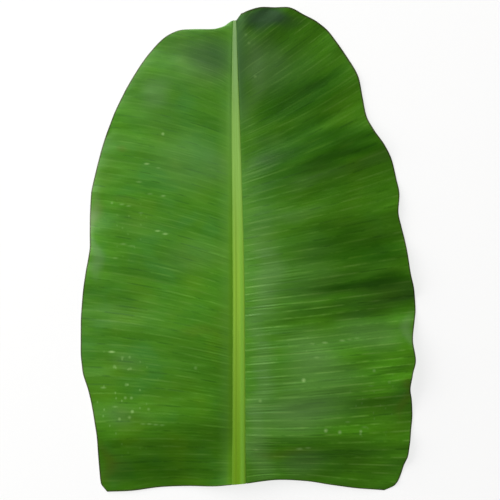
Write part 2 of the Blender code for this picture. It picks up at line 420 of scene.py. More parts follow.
def spot_group():
    """A round mask that is 1 in its middle and fades out to 0 at its rim."""
    group, given, result = new_group("spot", (
        ("Place", "Vector"), ("Centre", "Vector"), ("Radius", "Float"),
    ), "Mask")
    away = add_node(group, "VectorMath", {0: given["Place"], 1: given["Centre"]},
                    operation="DISTANCE").outputs["Value"]
    group.links.new(ramp(group, away, 0.0, given["Radius"], 1.0, 0.0), result["Mask"])
    return group


streaks_tree = streaks_group()
spot_tree = spot_group()


def streaks(tree, along, across, length_scale, width_scale, seed):
    return add_node(tree, "Group", {
        "Along": along, "Across": across, "Length scale": length_scale,
        "Width scale": width_scale, "Seed": seed,
    }, node_tree=streaks_tree).outputs[0]


def spots(tree, place, longer, table):
    """The sum of spots, each a centre, a radius and a strength, drawn out along X by one factor."""
    flat = add_node(tree, "VectorMath", {0: place, 1: (1 / longer, 1.0, 0.0)},
                    operation="MULTIPLY").outputs[0]
    total = 0.0
    for x, y, radius, strength in table:
        spot = add_node(tree, "Group", {
            "Place": flat, "Centre": (x * MM / longer, y * MM, 0), "Radius": radius * MM,
        }, node_tree=spot_tree)
        total = maths(tree, "MULTIPLY_ADD", spot.outputs[0], strength, total)
    return total


def dots(tree, along, across, size, kept):
    """Round dots of the given radius in cells, in the given share of the cells."""
    place = add_node(tree, "CombineXYZ", {"X": along, "Y": across})
    cells = add_node(tree, "TexVoronoi", {"Vector": place.outputs[0], "Scale": 1.0},
                     voronoi_dimensions="2D")
    dot = ramp(tree, cells.outputs["Distance"], 0.4 * size, size, 1.0, 0.0)
    draw = add_node(tree, "SeparateColor", {0: cells.outputs["Color"]}).outputs[0]
    return times(tree, dot, maths(tree, "LESS_THAN", draw, kept))


def new_material(name):
    material = bpy.data.materials.new(name)
    material.use_nodes = True
    tree = material.node_tree
    return material, tree, tree.nodes["Principled BSDF"]


def uv_values(tree, name):
    """Both values of one of the piece's own UV maps."""
    place = add_node(tree, "UVMap", {}, uv_map=name).outputs[0]
    split = add_node(tree, "SeparateXYZ", {0: place})
    return split.outputs[0], split.outputs[1]


def attribute(tree, name):
    return add_node(tree, "Attribute", {}, attribute_name=name).outputs["Fac"]


def point_place(tree):
    """Where the point that is coloured lies, in the frame of the part."""
    return add_node(tree, "TexCoord", {}).outputs["Object"]


def grain(tree, height, strength, distance):
    """The normals of a relief that is too fine for the mesh."""
    return add_node(tree, "Bump", {
        "Height": height, "Strength": strength, "Distance": distance,
    }).outputs[0]


# Where the blade is darker or paler: partly its own deeper or paler green, partly painted shade and
# painted light of its folds. Where painted sheen greys it, where it has begun to brown, where
# painted shade with a bluish reflection lies near the tip, and where it was grazed. Millimetres:
# centre x and y, reach along and across; then the turn in degrees and the strength
TONE_AND_SHADE_PATCHES = (
    (58, 163, 68, 26, 22, -0.48), (84, 92, 50, 14, 15, -0.34), (90, 118, 84, 17, 16, -0.42),
    (82, 139, 34, 13, 20, -0.35), (38, 124, 22, 16, 16, -0.35), (20, 251, 18, 9, 5, -0.25),
    (132, 110, 32, 9, 18, -0.48), (119, 118, 17, 8, 12, -0.26), (60, 122, 16, 8, 15, -0.18),
    (165, -57, 22, 8, 5, -0.25), (45, -90, 40, 7, 3, -0.12), (122, -100, 30, 8, 5, 0.15),
    (115, -150, 22, 10, 0, 0.12), (112, -200, 30, 7, 5, 0.18), (80, -228, 52, 9, 5, -0.24),
    (64, -234, 34, 8, 0, -0.2), (20, -246, 22, 10, 0, 0.15), (130, -254, 44, 9, 0, 0.15),
    (-156, 48, 12, 20, 0, 0.2), (-138, 108, 14, 12, 0, 0.2), (-104, 135, 22, 22, 0, 0.1),
    (-95, 64, 62, 13, 0, 0.1), (-110, 2, 52, 13, 0, 0.1), (-76, 152, 22, 9, -10, 0.12),
    (-28, -182, 22, 42, 0, 0.1), (30, 20, 44, 60, 0, -0.08), (72, 86, 22, 9, 10, -0.2),
    (38, 84, 16, 8, 0, -0.15), (135, -130, 40, 16, 5, 0.18), (145, -168, 26, 8, 5, -0.12),
    (120, -196, 36, 9, 5, 0.2), (150, -212, 24, 7, 5, -0.1), (-18, -245, 20, 16, 0, -0.15),
    (-30, 205, 32, 20, 0, -0.1), (-60, -90, 40, 20, 0, 0.08), (-60, 20, 40, 14, 0, 0.06),
    (14, 187, 14, 10, 0, 0.15), (10, 118, 12, 56, 0, -0.14), (55, 124, 14, 9, 15, -0.28),
    (36, 103, 32, 12, 15, -0.28), (98, 107, 30, 8, 15, -0.22), (64, 96, 24, 12, 15, -0.2),
    (74, 181, 30, 10, 20, -0.15), (150, 48, 22, 12, 5, 0.15), (74, 18, 18, 8, 5, -0.2),
    (108, -46, 30, 8, 5, -0.15), (144, -46, 20, 8, 0, 0.2), (90, -68, 60, 8, 5, 0.2),
    (20, 229, 22, 9, 0, 0.15), (20, 196, 13, 10, 0, 0.15), (12, 163, 14, 9, 0, -0.15),
    (22, 145, 14, 11, 0, 0.12), (110, 184, 14, 9, 0, -0.14), (91, 163, 16, 9, 0, -0.1),
    (62, 136, 22, 8, 15, -0.12), (28, 108, 20, 6, 10, -0.13), (4, 86, 10, 20, 0, -0.17),
    (74, 62, 20, 20, 0, -0.1), (161, 58, 12, 12, 0, 0.13), (82, 31, 20, 8, 0, 0.1),
    (135, 31, 18, 8, 0, -0.1), (20, 12, 26, 12, 0, 0.11), (82, -3, 24, 7, 3, 0.12),
    (110, -13, 20, 7, 3, -0.13), (154, -24, 20, 7, 3, -0.15), (91, -46, 34, 8, 3, -0.2),
    (72, -57, 28, 7, 3, -0.12), (75, -79, 18, 7, 3, 0.14), (180, -79, 10, 9, 0, 0.6),
    (62, -101, 24, 8, 3, -0.1), (82, -124, 24, 8, 3, -0.12), (117, -140, 24, 12, 0, 0.12),
    (161, -140, 12, 12, 0, 0.14), (150, -174, 26, 12, 0, -0.16), (20, -151, 12, 14, 0, -0.1),
    (64, -183, 26, 14, 0, 0.12), (117, -200, 24, 8, 0, 0.18), (20, -211, 12, 9, 0, -0.15),
    (122, -212, 36, 7, 0, -0.1), (-94, 190, 24, 10, 0, 0.12), (-32, 192, 16, 14, 0, -0.1),
    (-100, 140, 66, 46, 0, 0.06), (-60, 146, 24, 12, 0, 0.06), (-154, 74, 12, 18, 0, 0.1),
    (-42, 54, 34, 22, 0, 0.08), (-138, 25, 14, 12, 0, -0.08), (-50, 27, 14, 8, 0, -0.08),
    (-103, 3, 50, 12, 0, 0.05), (-173, -35, 10, 16, 0, 0.2), (-103, -30, 28, 9, 0, -0.08),
    (-150, -88, 26, 18, 0, -0.08), (-41, -79, 24, 7, 0, -0.1), (-128, -130, 46, 14, 0, -0.07),
    (-85, -101, 30, 10, 0, 0.08), (-154, -156, 12, 12, 0, 0.1), (-70, -172, 24, 18, 0, 0.1),
    (-130, -184, 38, 14, 0, -0.1), (-148, -204, 14, 12, 0, 0.1), (-97, -216, 42, 11, 0, -0.13),
    (-41, -211, 14, 9, 0, 0.1), (-138, -252, 34, 12, 0, -0.15), (-78, -250, 40, 13, 0, 0.1),
    (-33, -252, 12, 14, 0, -0.18), (14, 240, 14, 9, 30, -0.15), (124, 118, 26, 8, 18, -0.12),
    (113, 102, 20, 6, 12, -0.1), (80, 84, 24, 6, 10, -0.1), (78, -46, 26, 6, 5, -0.08),
    (180, -62, 8, 8, 0, -0.2), (146, -166, 16, 8, 5, -0.12), (22, 150, 13, 7, 20, 0.1),
    (3, 196, 9, 24, 0, 0.14), (22, 163, 14, 7, 20, -0.14), (73, 141, 18, 6, 20, 0.2),
    (46, 130, 20, 6, 20, 0.14), (20, 119, 14, 6, 18, 0.16), (95, 103, 34, 8, 16, -0.17),
    (60, 92, 20, 7, 15, -0.12), (60, 64, 28, 6, 10, 0.1), (108, 53, 24, 7, 8, -0.12),
    (158, 4, 14, 14, 5, -0.14), (153, -29, 22, 10, 3, -0.15), (100, -68, 46, 7, 3, 0.1),
    (46, -95, 26, 8, 3, -0.12), (150, -88, 24, 7, 3, 0.12), (110, -101, 16, 7, 3, 0.12),
    (170, -130, 12, 14, 0, 0.22), (82, -156, 22, 7, 3, 0.14), (93, -189, 34, 9, 0, 0.22),
    (165, -196, 12, 14, 0, 0.2), (128, -233, 30, 8, 0, -0.14), (24, -244, 20, 11, 0, 0.15),
    (-78, 205, 36, 16, -10, 0.08), (-135, 100, 36, 8, -8, 0.12), (-95, 55, 60, 12, -8, 0.08),
    (-158, 28, 16, 30, 0, 0.14), (-66, -238, 36, 8, 0, 0.12), (-80, -24, 34, 14, -12, -0.07),
    (-52, -108, 24, 8, -6, -0.12), (-145, -128, 30, 8, 0, -0.1), (-136, -182, 34, 9, 0, -0.1),
    (-24, -245, 12, 12, 0, -0.15), (-175, -150, 10, 10, 0, 0.15), (20, 256, 16, 8, 0, -0.25),
    (-91, 205, 18, 30, -10, 0.15), (-58, 225, 24, 10, 0, 0.12), (-157, 42, 12, 16, 0, 0.2),
    (-157, 9, 12, 10, 0, 0.15), (-173, -35, 10, 22, 0, 0.2), (179, -60, 8, 40, 0, 0.25),
    (161, -217, 10, 8, 0, 0.2), (108, -190, 30, 8, 0, 0.12), (80, -5, 40, 7, 3, 0.12),
    (18, -246, 26, 10, 0, 0.12), (57, -217, 16, 6, 0, 0.15), (56, 146, 14, 6, 18, -0.17),
    (112, 106, 22, 12, 15, -0.15), (88, 97, 16, 7, 14, -0.14), (73, 80, 18, 7, 10, -0.15),
    (150, -30, 22, 12, 3, -0.12), (134, -239, 22, 8, 0, -0.14), (-25, 215, 12, 34, 0, -0.14),
    (-41, -175, 14, 10, 0, -0.1), (-107, -187, 24, 10, 0, -0.1), (-58, -112, 20, 7, -6, -0.14),
    (-137, -30, 18, 10, 0, -0.1), (-74, 53, 16, 8, -8, 0.14), (-25, 4, 10, 16, 0, 0.12),
    (-58, -57, 26, 8, -8, 0.1), (-157, -210, 10, 14, 0, 0.15), (135, 42, 44, 20, 0, 0.12),
    (20, 141, 12, 20, 0, 0.15), (152, -2, 26, 14, 5, -0.3), (108, 196, 18, 11, 20, -0.25),
    (126, 20, 22, 9, 0, -0.2), (16, 84, 24, 50, 0, -0.34), (44, 72, 32, 42, 0, -0.18),
    (22, 176, 24, 12, 25, -0.3), (66, 186, 50, 16, 22, -0.2), (150, 130, 24, 18, 20, -0.2),
    (27, 150, 16, 60, 0, -0.2), (0, 204, 10, 50, 0, 0.29), (20, 256, 32, 13, 5, -0.4),
    (16, 14, 26, 70, 0, -0.12), (45, 10, 34, 13, 5, -0.2), (107, 21, 42, 8, 3, -0.22),
    (107, -2, 100, 27, 7, -0.34), (157, -37, 42, 16, 4, -0.28), (118, -36, 62, 14, 5, -0.24),
    (48, -40, 40, 14, 0, -0.15), (105, -57, 70, 11, 5, 0.46), (129, -80, 50, 22, 5, 0.2),
    (176, -72, 9, 18, 0, 0.4), (60, -90, 40, 8, 0, -0.2), (66, -122, 50, 60, 0, 0.2),
    (113, -123, 84, 40, 5, 0.4), (168, -100, 22, 78, 0, 0.36), (154, -150, 38, 18, 12, 0.7),
    (82, -160, 34, 16, 0, 0.22), (129, -173, 90, 42, 3, 0.44), (78, -203, 54, 13, 0, 0.26),
    (110, -230, 95, 20, 0, 0.28), (160, -226, 30, 30, 0, 0.4), (54, -236, 40, 20, 0, 0.24),
    (12, -239, 24, 28, 0, 0.25), (-38, 209, 28, 24, -15, -0.18), (-96, 196, 20, 10, -20, 0.14),
    (-128, 139, 40, 26, 10, 0.3), (-134, 70, 26, 40, 10, 0.16), (-69, 97, 50, 48, 0, 0.16),
    (-142, 52, 44, 15, -5, 0.25), (-80, 40, 60, 12, 0, 0.12), (-60, -8, 50, 24, 0, 0.10),
    (-159, -4, 22, 34, 0, 0.32), (-124, -2, 22, 12, 0, 0.2), (-137, -64, 36, 16, 0, -0.15),
    (-39, -68, 34, 135, 0, 0.25), (-80, -50, 50, 50, 0, 0.14), (-42, -174, 28, 30, 0, 0.26),
    (-150, -180, 26, 46, 0, 0.1), (-72, -204, 34, 14, 0, 0.18), (-120, -205, 44, 12, 0, 0.16),
    (-95, -240, 84, 27, 0, -0.27), (-148, -252, 24, 14, 0, -0.14),
)
# Painted sheen patches, milky where the waxy surface shines; the same columns as above
SHEEN_PATCHES = (
    (72, -156, 72, 62, 5, 0.30), (70, -30, 36, 62, 0, 0.14), (-100, 150, 50, 30, 0, 0.12),
    (-58, 207, 58, 46, -15, 0.30), (16, 207, 34, 46, 0, 0.35), (-135, -188, 22, 20, 0, 0.2),
    (-134, -128, 22, 16, 0, 0.18), (26, 121, 28, 9, 20, 0.16), (10, -228, 24, 46, 0, 0.35),
    (-36, 86, 24, 34, 0, 0.16), (30, -50, 40, 60, 0, 0.12), (135, -92, 62, 26, 8, 0.30),
    (50, -185, 70, 34, 0, 0.25), (181, -92, 9, 30, 0, 0.4), (-103, 175, 22, 30, -30, 0.35),
    (-167, 34, 9, 36, -3, 0.45), (-169, -12, 10, 36, 0, 0.5), (14, -140, 16, 100, 0, 0.3),
    (-69, 97, 52, 50, 0, 0.24), (-60, -8, 52, 26, 0, 0.18), (4, 190, 18, 80, 0, 0.3),
    (20, -20, 22, 90, 0, 0.25), (66, -112, 44, 34, 0, 0.3), (66, 78, 50, 16, 15, 0.2),
    (60, 36, 42, 12, 5, 0.2), (56, -236, 36, 24, 0, 0.3),
)
# Painted shade with a bluish reflection near the tip; the same columns as above
SHADE_AND_REFLECTION_PATCHES = (
    (20, 255, 34, 17, 5, 1.0), (22, 241, 15, 8, 20, 0.4), (42, 252, 32, 11, -10, 0.35),
    (-40, 206, 42, 30, -15, 0.48), (36, 200, 60, 40, 30, 0.25),
)
BROWNING = (
    (-158, -238, 10, 34, 0, 0.3), (174, -165, 8, 30, 0, 0.35), (170, -145, 8, 9, 0, 0.3),
    (-150, -245, 24, 26, 0, 0.2), (-166, 38, 13, 26, -3, 0.3), (-136, 108, 7, 6, 0, 0.3),
    (-131, 50, 26, 8, 0, 0.2), (40, -222, 40, 8, 3, 0.25), (-50, -92, 30, 10, -12, 0.25),
)
GRAZES = (
    (-135, -165, 50, 85, 0, 1.0), (-125, 20, 45, 60, 0, 0.45), (135, -165, 60, 60, 0, 0.6),
    (60, -110, 70, 20, 5, 0.5),
)

# Millimetres by which patches are moved along the veins, and the average taken. Tones are drawn out
# in this way, and the other patches stay as they are.
DRAWN_OUT = (-15, -7.5, 0, 7.5, 15)
IN_PLACE = (0,)
DARKEST_TONE = -0.6

# The scars that can be told apart: centre x and y, radius, strength
DOTS = (
    (-93, 125.4, 2.6, 0.8), (-149, 49.5, 2.3, 0.5), (-137, -120, 2.6, 0.3), (-129, -119.5, 2.4, 0.3),
    (-145.8, -130, 3, 0.4), (-128, -132, 2.6, 0.35), (-132.6, -149.6, 2.8, 0.4),
    (-133.7, -164, 2.7, 0.55), (-127, -164, 2.6, 0.55), (-125.9, -178.8, 2.8, 0.65),
    (-108, -176, 2.7, 0.35), (-129, -185, 2.8, 0.4), (-140, -187, 2.7, 0.45), (-56.7, -131, 3, 0.3),
    (13.8, -167, 2.8, 0.45), (100.7, -201, 3.0, 0.9), (123.8, -200.5, 2.6, 0.8),
    (123.5, -203.5, 2.2, 0.5), (61, -143.8, 3.3, 1.0), (85.3, -199, 3.2, 1.0),
    (138, -133.7, 2.8, 0.5), (8.3, 188, 2.6, 0.45), (154.6, -146.3, 2.6, 0.4), (-2, 233, 2.6, 0.35),
    (1.5, 224, 2.6, 0.35),
)
DASHES = (
    (-110.6, 92.4, 1.8, 0.8), (-98, 88, 1.5, 0.3), (-92.4, 57.2, 1.6, 0.6), (-107, 59.4, 1.8, 0.3),
    (-119, 72.6, 1.9, 0.35), (-138, 47.9, 1.6, 0.45), (-130.6, 46.2, 1.6, 0.45),
    (-117, 38.5, 1.5, 0.3), (-98.5, 18.7, 1.7, 0.65), (-90.2, 15.4, 1.8, 0.75), (-136, 4.4, 2, 0.35),
    (-127, 2.4, 1.8, 0.25), (-145, -11, 1.8, 0.3), (-149, -113.9, 2.0, 1.0), (-158, -153, 1.9, 0.5),
    (-145, -173.8, 1.7, 0.35), (-114, -192, 1.8, 0.3), (-107, -192, 1.8, 0.4),
    (-100, -192.6, 1.8, 0.4), (-93, -193, 1.7, 0.3), (84, -102.9, 1.8, 0.75),
    (103, -100.7, 1.8, 0.65), (111, -99.6, 1.6, 0.3), (119, -98.4, 1.7, 0.3), (70, -104, 1.8, 0.3),
    (75, -118.8, 1.8, 0.4), (109.5, -190, 1.7, 0.35), (128, -196, 1.9, 0.3), (56.7, -219, 2.0, 0.55),
    (66, -218, 1.8, 0.45), (9.4, -220.6, 1.7, 0.3), (134.8, -150.2, 1.8, 0.3),
)


def soft_patches(x, y, table):
    """The sum of soft ellipses at each point, their rims a little wavy."""
    x = x + 5 * MM * np.sin(y / (17 * MM)) + 3 * MM * np.sin(y / (7.3 * MM) + x / (23 * MM))
    y = y + 3 * MM * np.sin(x / (19 * MM)) + 1.5 * MM * np.sin(x / (8.9 * MM) + y / (31 * MM))
    total = np.zeros(len(x))
    for centre_x, centre_y, along, across, turn, strength in table:
        east, north = x - centre_x * MM, y - centre_y * MM
        turned = math.radians(turn)
        first = (east * math.cos(turned) + north * math.sin(turned)) / (along * MM)
        second = (north * math.cos(turned) - east * math.sin(turned)) / (across * MM)
        total += strength * (1 - ease((np.hypot(first, second) - 0.2) / 0.8))
    return total


def vein_direction(side, margin_table, vein):
    """East and north parts of the way that the vein through each point runs."""
    out, tipward = (curve_through(margin_table, column) for column in (1, 2))
    distance = vein_start(vein)
    length = np.hypot(out(distance), tipward(distance))
    return side * out(distance) / length, tipward(distance) / length


def write_patches(sheet, direction):
    """An attribute for each of the tables above, which the material reads."""
    places = vertex_places(sheet)
    for name, table, moves in (
        ("tone_and_shade", TONE_AND_SHADE_PATCHES, DRAWN_OUT), ("painted_sheen", SHEEN_PATCHES, IN_PLACE), ("browning", BROWNING, IN_PLACE),
        ("painted_cold_shade", SHADE_AND_REFLECTION_PATCHES, IN_PLACE), ("grazes", GRAZES, IN_PLACE),
    ):
        patches = sum(soft_patches(places[:, 0] + move * MM * direction[0],
                                   places[:, 1] + move * MM * direction[1], table)
                      for move in moves) / len(moves)
        write_attribute(sheet, name, np.clip(patches, DARKEST_TONE, 1))


# The greens of the upper side, and what lies over them, painted shade, light and sheen among it
DEEP_GREEN = (0.046, 0.172, 0.003, 1)
FRESH_GREEN = (0.058, 0.204, 0.005, 1)
BLUISH = (0.042, 0.186, 0.022, 1)
YELLOWISH = (0.074, 0.204, 0.002, 1)
DARK_STRIP = (0.027, 0.130, 0.002, 1)
BROAD_STREAK = (0.080, 0.255, 0.013, 1)
FINE_STREAK = (0.098, 0.285, 0.018, 1)
PALE_VEIN_AND_HIGHLIGHT = (0.200, 0.370, 0.070, 1)
VEIN_SHADE_COLOUR = (0.026, 0.110, 0.002, 1)
LEFT_PAINTED_SHEEN = (0.115, 0.225, 0.078, 1)
RIGHT_PAINTED_SHEEN = (0.118, 0.226, 0.075, 1)
LEFT_PAINTED_LIGHT = (0.001, 0.006, 0.003, 1)
BROWNED = (0.085, 0.120, 0.006, 1)
PAINTED_SHADE_TINT = (0.70, 0.95, 0.25, 1)
BLUISH_SHADE_COLOUR = (0.034, 0.085, 0.030, 1)
SCAR = (0.300, 0.520, 0.160, 1)
PALE_ROOT_AND_LIGHT = (0.190, 0.420, 0.070, 1)
LEFT_ROOT_AND_LIGHT = (0.104, 0.285, 0.004, 1)
LEFT_ROOT_AND_LIGHT_AT_TIP = (0.132, 0.318, 0.055, 1)
RIGHT_ROOT_SHEEN_AT_TIP = (0.090, 0.205, 0.068, 1)
RIM = (0.050, 0.055, 0.018, 1)
BLADE_GLOSS = 0.25


def blade_upper_material():
    """Veins are counted from the cut, and side is -1 on the left half and 1 on the right."""
    material, tree, shader = new_material("blade_upper")
    outward, vein = uv_values(tree, "veins")
    to_margin, side = uv_values(tree, "margin")
    place = point_place(tree)
    on_right = ramp(tree, side, -0.5, 0.5)
    on_left = maths(tree, "SUBTRACT", 1.0, on_right)
    signed_vein = times(tree, side, vein)

    # The ground colour, with colder and warmer clouds that are weaker on the right
    mottle = streaks(tree, outward, vein, 9.0, 0.45, maths(tree, "ADD", side, 30.0))
    colour = blend(tree, ramp(tree, mottle, 0.35, 0.65), DEEP_GREEN, FRESH_GREEN)
    hue = noise(tree, place, 23.0, 2.0)
    bluish = times(tree, ramp(tree, hue, 0.50, 0.70, 0.0, 0.6),
                   maths(tree, "MULTIPLY_ADD", on_right, -0.7, 1.0))
    colour = blend(tree, bluish, colour, BLUISH)
    yellowish = times(tree, ramp(tree, hue, 0.50, 0.30, 0.0, 0.6),
                      maths(tree, "MULTIPLY_ADD", on_right, -0.6, 1.0))
    colour = blend(tree, yellowish, colour, YELLOWISH)

    # Strips between two veins, and streaks along the veins
    strip_tone = streaks(tree, outward, maths(tree, "FLOOR", vein), 7.0, 7.13, side)
    colour = blend(tree, ramp(tree, strip_tone, 0.35, 0.7, 0.0, 0.35), colour, DARK_STRIP)
    broad = streaks(tree, outward, vein, 17.0, 1.3, maths(tree, "ADD", side, 20.0))
    colour = blend(tree, ramp(tree, broad, 0.48, 0.75, 0.0, 0.36), colour, BROAD_STREAK)
    fine = streaks(tree, outward, vein, 36.0, 4.5, side)
    colour = blend(tree, ramp(tree, fine, 0.45, 0.75, 0.0, 0.28), colour, FINE_STREAK)

    # The vein lines, broken into pale stretches, partly paler vein tissue and partly painted
    # highlight, and dark stretches of painted shade
    line = ramp(tree, maths(tree, "PINGPONG", vein, 0.5), 0.02, 0.17, 1.0, 0.0)
    nearest = maths(tree, "FLOOR", maths(tree, "ADD", vein, 0.5))
    broken = streaks(tree, outward, nearest, 30.0, 7.13, maths(tree, "ADD", side, 3.0))
    paler = maths(tree, "MAXIMUM", ramp(tree, vein, 22.0, 44.0, 1.0, 0.6),
                  ramp(tree, vein, 52.0, 60.0, 0.0, 1.3))
    paler = times(tree, paler, maths(tree, "MULTIPLY_ADD", on_right, 0.45, 0.55))
    pale_lit_stretch = times(tree, paler, ramp(tree, broken, 0.44, 0.62, 0.0, 0.28))
    colour = blend(tree, times(tree, line, pale_lit_stretch), colour, PALE_VEIN_AND_HIGHLIGHT)
    shaded_stretch = ramp(tree, broken, 0.50, 0.36, 0.0, 0.62)
    colour = blend(tree, times(tree, line, shaded_stretch), colour, VEIN_SHADE_COLOUR)

    # The patches
    tone_and_shade, painted_sheen, browning, painted_cold_shade, grazes = (
        attribute(tree, name) for name in ("tone_and_shade", "painted_sheen", "browning", "painted_cold_shade", "grazes"))
    # Painted sheen: milky grey-green where the waxy surface shines
    colour = blend(tree, painted_sheen, colour, blend(tree, on_right, LEFT_PAINTED_SHEEN, RIGHT_PAINTED_SHEEN))
    # Painted light: the left half, on the side of the light, a little brighter
    left_lit = times(tree, on_left, ramp(tree, vein, 4.0, 20.0))
    colour = blend(tree, left_lit, colour, LEFT_PAINTED_LIGHT, "ADD")
    colour = blend(tree, browning, colour, BROWNED)
    # Darker or paler patches: partly the blade's own green, partly painted shade and light
    colour = add_node(tree, "VectorMath", {
        0: colour, "Scale": maths(tree, "ADD", tone_and_shade, 1.0),
    }, operation="SCALE").outputs[0]
    # Painted shade: the darkest patches also turn deeper and more saturated
    deep = ramp(tree, tone_and_shade, -0.08, -0.45, 0.0, 0.9)
    colour = blend(tree, deep, colour, PAINTED_SHADE_TINT, "MULTIPLY")
    # Painted shade with a bluish reflection on the drooping blade near the tip
    colour = blend(tree, painted_cold_shade, colour, BLUISH_SHADE_COLOUR)

    # The scars, and a scatter of small ones where the blade was grazed
    scatter = times(tree, grazes, dots(tree, times(tree, outward, 150.0), vein, 0.20, 0.2))
    scars = maths(tree, "ADD", spots(tree, place, 1.0, DOTS), spots(tree, place, 2.6, DASHES))
    scars = maths(tree, "MULTIPLY_ADD", scatter, 0.35, scars)
    colour = blend(tree, times(tree, scars, 0.8), colour, SCAR)

    # The paler bands beside the midrib, partly paler tissue and partly painted light on the left,
    # painted sheen on the right near the tip, and the dry rim
    lit_root = times(tree, ramp(tree, signed_vein, -50.0, -62.0, 1.0, 0.25), on_left)
    pale_lit_band = times(tree, ramp(tree, outward, 3 * MM, 19 * MM, 0.21, 0.0), lit_root)
    colour = blend(tree, pale_lit_band, colour, PALE_ROOT_AND_LIGHT)
    left_lit_band = times(tree, ramp(tree, outward, 0.3 * MM, 8 * MM, 0.75, 0.0), lit_root)
    left_root_and_light = blend(tree, ramp(tree, vein, 32.0, 60.0), LEFT_ROOT_AND_LIGHT, LEFT_ROOT_AND_LIGHT_AT_TIP)
    colour = blend(tree, left_lit_band, colour, left_root_and_light)
    # Painted sheen: a bluish band beside the midrib on the right near the tip
    right_sheen_band = times(tree, ramp(tree, outward, 0.3 * MM, 14 * MM, 0.7, 0.0),
                       ramp(tree, signed_vein, 48.0, 60.0))
    colour = blend(tree, right_sheen_band, colour, RIGHT_ROOT_SHEEN_AT_TIP)
    rim = maths(tree, "MAXIMUM", ramp(tree, to_margin, 0.5 * MM, 2.1 * MM, 0.9, 0.0),
                ramp(tree, vein, 0.04, 0.18, 0.9, 0.0))
    colour = blend(tree, rim, colour, RIM)

    satin = ramp(tree, fine, 0.3, 0.7, 0.36, 0.46)
    feed(tree, shader, {
        "Base Color": colour, "Roughness": maths(tree, "MULTIPLY_ADD", tone_and_shade, 0.08, satin),
        "Specular IOR Level": BLADE_GLOSS,
        "Normal": grain(tree, streaks(tree, outward, vein, 30.0, 9.0, 5.0), 0.35, 0.15 * MM),
    })
    return material


UNDER_DULL = (0.110, 0.240, 0.062, 1)
UNDER_PALE = (0.200, 0.340, 0.130, 1)
UNDER_CLOUD = (0.210, 0.345, 0.170, 1)
UNDER_STRIP = (0.095, 0.215, 0.048, 1)
UNDER_VEIN = (0.270, 0.420, 0.160, 1)
UNDER_ROOT = (0.240, 0.390, 0.110, 1)
UNDER_ROUGHNESS = 0.6


def blade_under_material():
    material, tree, shader = new_material("blade_under")
    outward, vein = uv_values(tree, "veins")
    fine = streaks(tree, outward, vein, 18.0, 4.0, 8.0)
    colour = blend(tree, fine, UNDER_DULL, UNDER_PALE)
    mottle = noise(tree, point_place(tree), 11.0, 3.0)
    colour = blend(tree, ramp(tree, mottle, 0.38, 0.66, 0.0, 0.5), colour, UNDER_CLOUD)
    strip = streaks(tree, outward, maths(tree, "FLOOR", vein), 6.0, 7.13, 9.0)
    colour = blend(tree, ramp(tree, strip, 0.42, 0.7, 0.0, 0.35), colour, UNDER_STRIP)
    line = ramp(tree, maths(tree, "PINGPONG", vein, 0.5), 0.03, 0.13, 0.5, 0.0)
    colour = blend(tree, line, colour, UNDER_VEIN)
    colour = blend(tree, ramp(tree, outward, 0.0, 8 * MM, 0.8, 0.0), colour, UNDER_ROOT)
    feed(tree, shader, {
        "Base Color": colour, "Roughness": UNDER_ROUGHNESS,
        "Normal": grain(tree, fine, 0.4, 0.2 * MM),
    })
    return material


DRY_DARK = (0.060, 0.050, 0.018, 1)
DRY_PALE = (0.140, 0.125, 0.045, 1)
CUT_DARK = (0.100, 0.150, 0.040, 1)
CUT_PALE = (0.330, 0.400, 0.160, 1)


def blade_edge_material():
    """The thin edge: drying brown at the margin, fresh pale tissue where the knife went through."""
    material, tree, shader = new_material("blade_edge")
    outward, vein = uv_values(tree, "veins")
    speckle = noise(tree, point_place(tree), 600.0, 3.0)
    at_cut = times(tree, ramp(tree, vein, 0.02, 0.3, 1.0, 0.0),
                   ramp(tree, outward, 0.0, 14 * MM, 0.9, 0.45))
    colour = blend(tree, at_cut, blend(tree, speckle, DRY_DARK, DRY_PALE),
                   blend(tree, speckle, CUT_DARK, CUT_PALE))
    feed(tree, shader, {"Base Color": colour, "Roughness": ramp(tree, speckle, 0.3, 0.7, 0.5, 0.7)})
    return material


finishes = (blade_upper_material(), blade_under_material(), blade_edge_material())
LEFT_TABLES = (LEFT_MARGIN, LEFT_BOW, LEFT_SWELL, LEFT_CURL, LEFT_CUT, LEFT_RELIEF)
RIGHT_TABLES = (RIGHT_MARGIN, RIGHT_BOW, RIGHT_SWELL, RIGHT_CURL, RIGHT_CUT, RIGHT_RELIEF)
LEFT_SEED, RIGHT_SEED = 11, 12
for piece_name, side, tables, seed in (
    ("blade_left", -1, LEFT_TABLES, LEFT_SEED), ("blade_right", 1, RIGHT_TABLES, RIGHT_SEED),
):
    half, vein = blade_half(piece_name, side, tables, seed)
    write_patches(half, vein_direction(side, tables[0], vein))
    for finish in finishes:
        half.data.materials.append(finish)
    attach(half, "root")
    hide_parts("banana_leaf")

# The midrib: a stiff pale rod of pithy tissue that carries both halves, with a shallow channel
# along its upper side and a rounded keel below. Rings of points follow it from the cut to the tip.
RINGS = 420
AROUND = 56
CUT_SLICE = 2.5 * MM
EDGE_HEIGHT = 0.98
UPPER_SECTION = ((-1.0, EDGE_HEIGHT), (-0.8, 0.991), (-0.5, 0.997), (-0.2, 0.995), (0.0, 0.994),
                 (0.2, 0.996), (0.45, 1.0), (0.66, 0.997), (0.85, 0.988), (1.0, EDGE_HEIGHT))
KEEL_FLAT = 0.28
SAME_POINT = 0.02 * MM
CUT_BACK = 0.3
CUT_SLANT = 0.7


def under_height(across):
    """The lower side of the section, as a share of its depth, with a flat along the keel."""
    height = EDGE_HEIGHT * (1 - (1 - across ** 2) ** 0.375)
    return np.where(np.abs(across) < KEEL_FLAT, 0.0, height)


